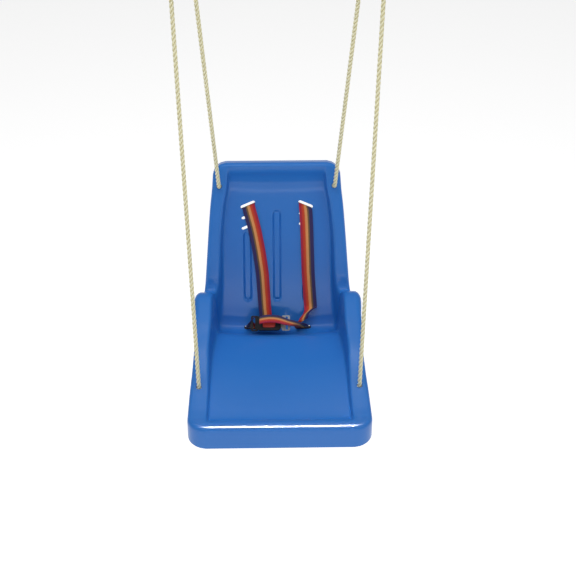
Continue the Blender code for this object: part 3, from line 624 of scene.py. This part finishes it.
shell_finish, start = new_finish(
    "moulded_blue", Roughness=0.32, Specular_IOR_Level=0.30, Coat_Weight=0.22, Coat_Roughness=0.10
)
spot = start.node("ShaderNodeTexCoord", output="Object")
cloud = spot.noise(7, 3.0)
speck = spot.noise(420, 2.0)
shell_tone = (cloud * 0.7 + speck * 0.3).mixed((0.020, 0.160, 0.54, 1), (0.028, 0.190, 0.61, 1))
shell_tone.feed("Base Color")
(spot.noise(60, 4.0, 0.6) * 0.10 + 0.25).feed("Roughness")
(spot.noise(95, 3.0) * 0.6 + spot.noise(620, 2.0) * 0.4).bump(0.00022, 0.35)

shell_mesh = bpy.data.meshes.new("moulded_seat")
skin.to_mesh(shell_mesh)
skin.free()
shell_mesh.materials.append(shell_finish)
shell_mesh.shade_smooth()
shell = bpy.data.objects.new("moulded_seat", shell_mesh)
bpy.context.scene.collection.objects.link(shell)
thicken = shell.modifiers.new("wall", "SOLIDIFY")
thicken.thickness = shell_wall
thicken.offset = -1.0
thicken.use_even_offset = True
thicken.use_quality_normals = True


def obround(width, height):
    """A slot's outline with round ends, anticlockwise."""
    radius = height / 2
    points = []
    for i in range(20):
        angle = 2 * math.pi * (i + 0.5) / 20
        shift = width / 2 - radius if math.cos(angle) > 0 else radius - width / 2
        points.append((shift + radius * math.cos(angle), radius * math.sin(angle)))
    return points


def add_punch(cutter, outline, place, depth):
    """One more punch on the cutter: an outline pushed right through the skin."""
    verts = [cutter.verts.new(place @ Vector((x, y, -depth / 2))) for x, y in outline]
    face = cutter.faces.new(verts)
    made = bmesh.ops.extrude_face_region(cutter, geom=[face])["geom"]
    through = place.to_3x3() @ Vector((0, 0, depth))
    moved = [part for part in made if isinstance(part, bmesh.types.BMVert)]
    bmesh.ops.translate(cutter, vec=through, verts=moved)


def facing(out, place, side):
    """A frame whose Z runs along out, and whose X stays near side."""
    across = out.cross(side).normalized()
    turn = Matrix((across.cross(out), across, out)).transposed().to_4x4()
    return Matrix.Translation(place) @ turn


slot_turn = math.radians(23)
slot_x = 0.0555
slot_heights = (0.231, 0.209, 0.1885)
slot_sizes = ((0.030, 0.008), (0.027, 0.0056), (0.027, 0.0056))
lap_slot = Vector((0.050, 0.3205, 0.0435))
lap_slot_out = Vector((0.0, -0.668, 0.744)).normalized()


def slot_across(sign):
    """The long way of a shoulder slot, which rises towards the middle of the back."""
    return Vector((math.cos(slot_turn), 0, 0)) - sign * back_up * math.sin(slot_turn)


cutter = bmesh.new()
for sign in (-1, 1):
    for height, size in zip(slot_heights, slot_sizes):
        place = facing(back_out, on_back(sign * slot_x, height), slot_across(sign))
        add_punch(cutter, obround(*size), place, 0.03)
    lap_place = seat_zero + Vector((sign * lap_slot.x, lap_slot.y, lap_slot.z))
    add_punch(cutter, obround(0.032, 0.008), facing(lap_slot_out, lap_place, Vector((1, 0, 0))), 0.024)
    for hole, out, top_x in rope_ends.values():
        place = facing(out, seat_zero + Vector((sign * hole.x, hole.y, hole.z)), Vector((1, 0, 0)))
        add_punch(cutter, obround(0.0104, 0.0104), place, 0.02)
bmesh.ops.recalc_face_normals(cutter, faces=cutter.faces)
cutter_mesh = bpy.data.meshes.new("punches")
cutter.to_mesh(cutter_mesh)
cutter.free()
punches = bpy.data.objects.new("punches", cutter_mesh)
bpy.context.scene.collection.objects.link(punches)
cut = shell.modifiers.new("cut", "BOOLEAN")
cut.operation = "DIFFERENCE"
cut.solver = "MANIFOLD"
cut.object = punches
graph = bpy.context.evaluated_depsgraph_get()
finished_shell = bpy.data.meshes.new_from_object(shell.evaluated_get(graph))
shell.modifiers.clear()
shell.data = finished_shell
finished_shell.name = "moulded_seat"
finished_shell.set_sharp_from_angle(angle=math.radians(45))
bpy.data.objects.remove(punches)
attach(shell, "swing")
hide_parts("seat_shell")


# ---------------------------------------------------------------------------------------------
# Harness webbing: 25 mm nylon, about 2 mm thick, woven in lengthwise stripes. Two shoulder straps
# come through the top slots and lie down the backrest, and two lap straps come up beside them.

webbing_finish, start = new_finish(
    "striped_webbing", Roughness=0.70, Specular_IOR_Level=0.3, Sheen_Weight=0.15, Sheen_Roughness=0.5
)
across = start.node("ShaderNodeAttribute", output="Fac", attribute_name="mark")
along = start.node("ShaderNodeAttribute", output="Fac", attribute_name="along")
spot = start.node("ShaderNodeTexCoord", output="Object")
stripes = start.node(
    "ShaderNodeValToRGB",
    {"Fac": across * 0.5 + spot.noise(260, 2.0) * 0.03 + 0.485},
    stops=(
        (0.00, (0.040, 0.028, 0.130, 1)),
        (0.24, (0.040, 0.028, 0.120, 1)),
        (0.29, (0.150, 0.095, 0.050, 1)),
        (0.38, (0.260, 0.150, 0.055, 1)),
        (0.42, (0.860, 0.370, 0.130, 1)),
        (0.58, (0.860, 0.340, 0.110, 1)),
        (0.63, (0.700, 0.085, 0.022, 1)),
        (0.80, (0.600, 0.040, 0.022, 1)),
        (0.86, (0.480, 0.020, 0.050, 1)),
        (1.00, (0.440, 0.020, 0.060, 1)),
    ),
)
ribs = (along * (2 * math.pi / 0.0016) + (across * 40).sine() * 1.2).sine()
cords = (across * (math.pi * 22)).sine()
threads = ribs * 0.5 + cords * 0.3 + spot.noise(1500, 1.0) * 0.4
# The stripes are the webbing's own dye; darkening in the valleys between the weave's ribs and cords is
# painted shade.
stripes_and_weave_shade = (0.14 - threads * 0.24).mixed(stripes, (0.02, 0.01, 0.02, 1))
stripes_and_weave_shade.feed("Base Color")
threads.bump(0.00030, 0.8)

webbing_width = 0.025
webbing_thick = 0.0018
webbing_cells = 10  # across its width


def webbing_shape(rungs, cells, softened):
    """Webbing laid through rungs, each its two edges' points, with so many cells between two."""
    edges = []
    for side in (0, 1):
        line = []
        for before, after, count in zip(rungs, rungs[1:], cells):
            line += [before[side].lerp(after[side], i / count) for i in range(count)]
        line.append(rungs[-1][side])
        for _ in range(softened):
            line = [line[0]] + [(a + 2 * b + c) / 4 for a, b, c in zip(line, line[1:], line[2:])] + [line[-1]]
        edges.append(line)
    shape = bmesh.new()
    for layer in ("mark", "along"):
        shape.verts.layers.float.new(layer)
    mark, along = shape.verts.layers.float["mark"], shape.verts.layers.float["along"]
    row = []
    for i in range(webbing_cells + 1):
        vert = shape.verts.new(edges[0][0].lerp(edges[1][0], i / webbing_cells))
        vert[mark] = 2 * i / webbing_cells - 1
        row.append(vert)
    reach = 0.0
    for k in range(1, len(edges[0])):
        pulled = [shape.edges.get(pair) or shape.edges.new(pair) for pair in zip(row, row[1:])]
        made = bmesh.ops.extrude_edge_only(shape, edges=pulled)["geom"]
        fresh = {part for part in made if isinstance(part, bmesh.types.BMVert)}
        row = [next(e.other_vert(v) for e in v.link_edges if e.other_vert(v) in fresh) for v in row]
        left, right = edges[0][k], edges[1][k]
        reach += ((left + right - edges[0][k - 1] - edges[1][k - 1]) / 2).length
        for i, vert in enumerate(row):
            vert.co = left.lerp(right, i / webbing_cells)
            vert[mark] = 2 * i / webbing_cells - 1
            vert[along] = reach
    return shape


def add_webbing(name, rungs, cells, softened=4):
    """The webbing as an object with its thickness."""
    strap = to_object(name, webbing_shape(rungs, cells, softened), webbing_finish)
    thickness = strap.modifiers.new("thickness", "SOLIDIFY")
    thickness.thickness = webbing_thick
    thickness.offset = 0.0
    rounded = strap.modifiers.new("selvedge", "BEVEL")
    rounded.width = 0.0006
    rounded.segments = 2
    rounded.limit_method = "ANGLE"
    rounded.angle_limit = math.radians(60)
    return strap


def rung(centre, across):
    """A rung at full width, square across the webbing's middle line."""
    half = across.normalized() * webbing_width / 2
    return centre - half, centre + half


# Each row: height up the backrest, how proud of it, and the left and right straps' middles.
shoulder_route = (
    (.2230, .0034, -.0532, .0557),
    (.2130, .0030, -.0505, .0565),
    (.1820, .0030, -.0427, .0580),
    (.1400, .0030, -.0350, .0592),
    (.0950, .0030, -.0288, .0605),
    (.0500, .0034, -.0262, .0635),
)


def back_rung(first, second):
    """A rung given by both its ends on the backrest: (x, height, proud)."""
    return on_back(*first), on_back(*second)


strap_ends = {
    -1: [
        back_rung((-.0370, .026, .0060), (-.0125, .025, .0065)),
        back_rung((-.0355, .012, .0100), (-.0110, .012, .0105)),
        back_rung((-.0350, .002, .0120), (-.0105, .002, .0120)),
    ],
    1: [
        back_rung((.0525, .028, .0045), (.0775, .027, .0055)),
        back_rung((.0530, .019, .0090), (.0775, .026, .0100)),
        back_rung((.0500, .012, .0130), (.0710, .026, .0150)),
        back_rung((.0440, .006, .0170), (.0640, .021, .0190)),
        back_rung((.0400, -.001, .0190), (.0600, .013, .0215)),
        back_rung((.0390, -.006, .0180), (.0590, .008, .0205)),
    ],
}
for side_name, sign in (("left", -1), ("right", 1)):
    slant = slot_across(sign)
    up = slant.cross(back_out)
    up = up if up.dot(back_up) > 0 else -up
    slot = on_back(sign * slot_x, slot_heights[0]) - up * 0.0022
    rungs = [
        rung(slot - up * 0.0090 - back_out * 0.0118, slant),
        rung(slot - up * 0.0100 - back_out * 0.0095, slant),
        rung(slot - up * 0.0085 - back_out * 0.0068, slant),
        rung(slot - up * 0.0030 - back_out * 0.0050, slant),
        rung(slot - back_out * 0.0030, slant),
        rung(slot + back_out * 0.0014, slant),
        rung(slot - up * 0.0016 + back_out * 0.0034, slant),
    ]
    middles = [on_back(row[3 if sign > 0 else 2], row[0], row[1]) for row in shoulder_route]
    for i, middle in enumerate(middles):
        before = middles[i - 1] if i else rungs[-1][0].lerp(rungs[-1][1], 0.5)
        after = middles[min(i + 1, len(middles) - 1)]
        sideways = (after - before).cross(back_out)
        rungs.append(rung(middle, sideways if sideways.x > 0 else -sideways))
    rungs += strap_ends[sign]
    if sign > 0:
        rungs = [(right, left) for left, right in rungs]
    cells = [3, 3, 3, 3, 3, 2, 4, 4] + [8] * 5 + [6] * (len(strap_ends[sign]))
    strap = add_webbing(f"shoulder_webbing_{side_name}", rungs, cells[:len(rungs) - 1])
    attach(strap, "swing")
    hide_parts(f"shoulder_strap_{side_name}")

buckle_frame = (
    Matrix.Translation(seat_zero + Vector((-0.0170, 0.3000, 0.0672)))
    @ Matrix.Rotation(math.radians(50), 4, "X")
)


def belt_rung(first, second):
    """A rung given by both its ends in the buckle's frame, where X runs along the belt."""
    return buckle_frame @ Vector(first), buckle_frame @ Vector(second)


lap_left = [
    belt_rung((-.0455, -.0065, -.0440), (-.0205, -.0065, -.0440)),
    belt_rung((-.0455, -.0050, -.0320), (-.0205, -.0050, -.0320)),
    belt_rung((-.0450, -.0035, -.0180), (-.0235, -.0010, -.0300)),
    belt_rung((-.0410, -.0010, -.0060), (-.0300, .0035, -.0280)),
    belt_rung((-.0360, .0040, .0020), (-.0330, .0070, -.0225)),
    belt_rung((-.0310, .0090, .0055), (-.0310, .0110, -.0190)),
    belt_rung((-.0270, .0125, .0060), (-.0270, .0145, -.0185)),
]
strap = add_webbing("lap_webbing_left", lap_left, [4, 5, 5, 5, 5, 4], 3)
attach(strap, "swing")
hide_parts("lap_strap_left")

lap_right = [
    belt_rung((.0795, -.0060, -.0430), (.0545, -.0060, -.0430)),
    belt_rung((.0795, -.0044, -.0305), (.0545, -.0044, -.0305)),
    belt_rung((.0780, -.0025, -.0200), (.0535, -.0068, -.0175)),
    belt_rung((.0690, .0010, -.0100), (.0477, -.0060, .0000)),
    belt_rung((.0550, .0030, -.0020), (.0395, -.0070, .0150)),
    belt_rung((.0380, .0068, .0035), (.0320, -.0057, .0243)),
    belt_rung((.0290, .0108, .0040), (.0260, -.0042, .0238)),
    belt_rung((.0200, .0140, .0045), (.0185, -.0020, .0235)),
    belt_rung((.0100, .0158, .0045), (.0095, -.0008, .0232)),
    belt_rung((.0000, .0160, .0045), (.0000, -.0005, .0233)),
    belt_rung((-.0100, .0150, .0050), (-.0105, -.0015, .0238)),
    belt_rung((-.0180, .0125, .0060), (-.0190, -.0035, .0240)),
]
strap = add_webbing("lap_webbing_right", lap_right, [4, 4, 5, 6, 6, 5, 5, 5, 5, 5, 4], 3)
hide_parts("lap_strap_right")
tongue_side = buckle_frame @ Vector((0.044, 0, -0.002))
slot_side = buckle_frame @ Vector((0.064, 0, -0.028))
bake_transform(strap, "swing", "tongue", start=slot_side, end=tongue_side)


# ---------------------------------------------------------------------------------------------
# Buckle: a black nylon housing in two halves with a red press button, which turns a plated steel
# latch against a spring, and the plated steel tongue. Strap adjusters hold the webbing behind.

nylon_finish, start = new_finish("black_nylon", Roughness=0.42, Specular_IOR_Level=0.35)
spot = start.node("ShaderNodeTexCoord", output="Object")
grain = spot.noise(1400, 2.0)
moulded = spot.noise(60, 3.0)
(moulded * 0.6 + grain * 0.3).mixed((0.006, 0.006, 0.008, 1), (0.020, 0.020, 0.024, 1)).feed("Base Color")
(grain * 0.18 + 0.36).feed("Roughness")
grain.bump(0.00006, 0.6)

button_finish, start = new_finish("red_button", Roughness=0.28, Coat_Weight=0.3, Coat_Roughness=0.1)
spot = start.node("ShaderNodeTexCoord", output="Object")
grain = spot.noise(1100, 2.0)
moulded = spot.noise(90, 3.0)
(moulded * 0.7 + grain * 0.2).mixed((0.78, 0.020, 0.012, 1), (0.92, 0.050, 0.025, 1)).feed("Base Color")
(grain * 0.15 + 0.22).feed("Roughness")
grain.bump(0.00005, 0.5)

zinc_finish, start = new_finish("zinc_steel", Metallic=1.0, Roughness=0.34)
spot = start.node("ShaderNodeTexCoord", output="Object")
cells = spot.node("ShaderNodeTexVoronoi", {"Vector": spot, "Scale": 140.0}, output="Distance")
brushed = spot.noise(700, 3.0)
(cells * 0.5 + brushed * 0.4).mixed((0.36, 0.37, 0.40, 1), (0.60, 0.60, 0.60, 1)).feed("Base Color")
(brushed * 0.22 + cells * 0.12 + 0.26).feed("Roughness")
brushed.bump(0.00004, 0.5)


def give(finish, *nodes):
    """Puts a finish on pieces that keep the shape they were made with."""
    for node in nodes:
        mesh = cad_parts[node].data
        mesh.materials.clear()
        mesh.materials.append(finish)


give(nylon_finish, "buckle_base", "buckle_cover")
give(button_finish, "buckle_button")
give(zinc_finish, "buckle_latch", "buckle_tongue", "latch_spring")
for side_name in ("left", "right"):
    give(nylon_finish, f"shoulder_keeper_{side_name}", f"lap_keeper_{side_name}")


# ---------------------------------------------------------------------------------------------
# Hangers and rope fittings: two folded steel brackets screwed to the beam, each with a bolt and
# nut that two nylon thimbles turn on, and the washers that spread the ropes' pull under the seat.

bracket_finish, start = new_finish("bracket_steel", Metallic=1.0, Roughness=0.42)
spot = start.node("ShaderNodeTexCoord", output="Object")
spangle = spot.node("ShaderNodeTexVoronoi", {"Vector": spot, "Scale": 90.0}, output="Color")
rolled = spot.noise(320, 4.0)
(spangle * 0.6 + rolled * 0.4).mixed((0.44, 0.46, 0.48, 1), (0.66, 0.67, 0.67, 1)).feed("Base Color")
(rolled * 0.25 + spangle * 0.14 + 0.26).feed("Roughness")
rolled.bump(0.00005, 0.6)

for side_name in ("left", "right"):
    give(bracket_finish, f"hanger_bracket_{side_name}")
    give(zinc_finish, f"pivot_bolt_{side_name}", f"pivot_nut_{side_name}")
    for end in ("front", "rear"):
        give(zinc_finish, f"hanger_screw_{side_name}_{end}", f"rope_washer_{end}_{side_name}")
        give(nylon_finish, f"rope_thimble_{end}_{side_name}")
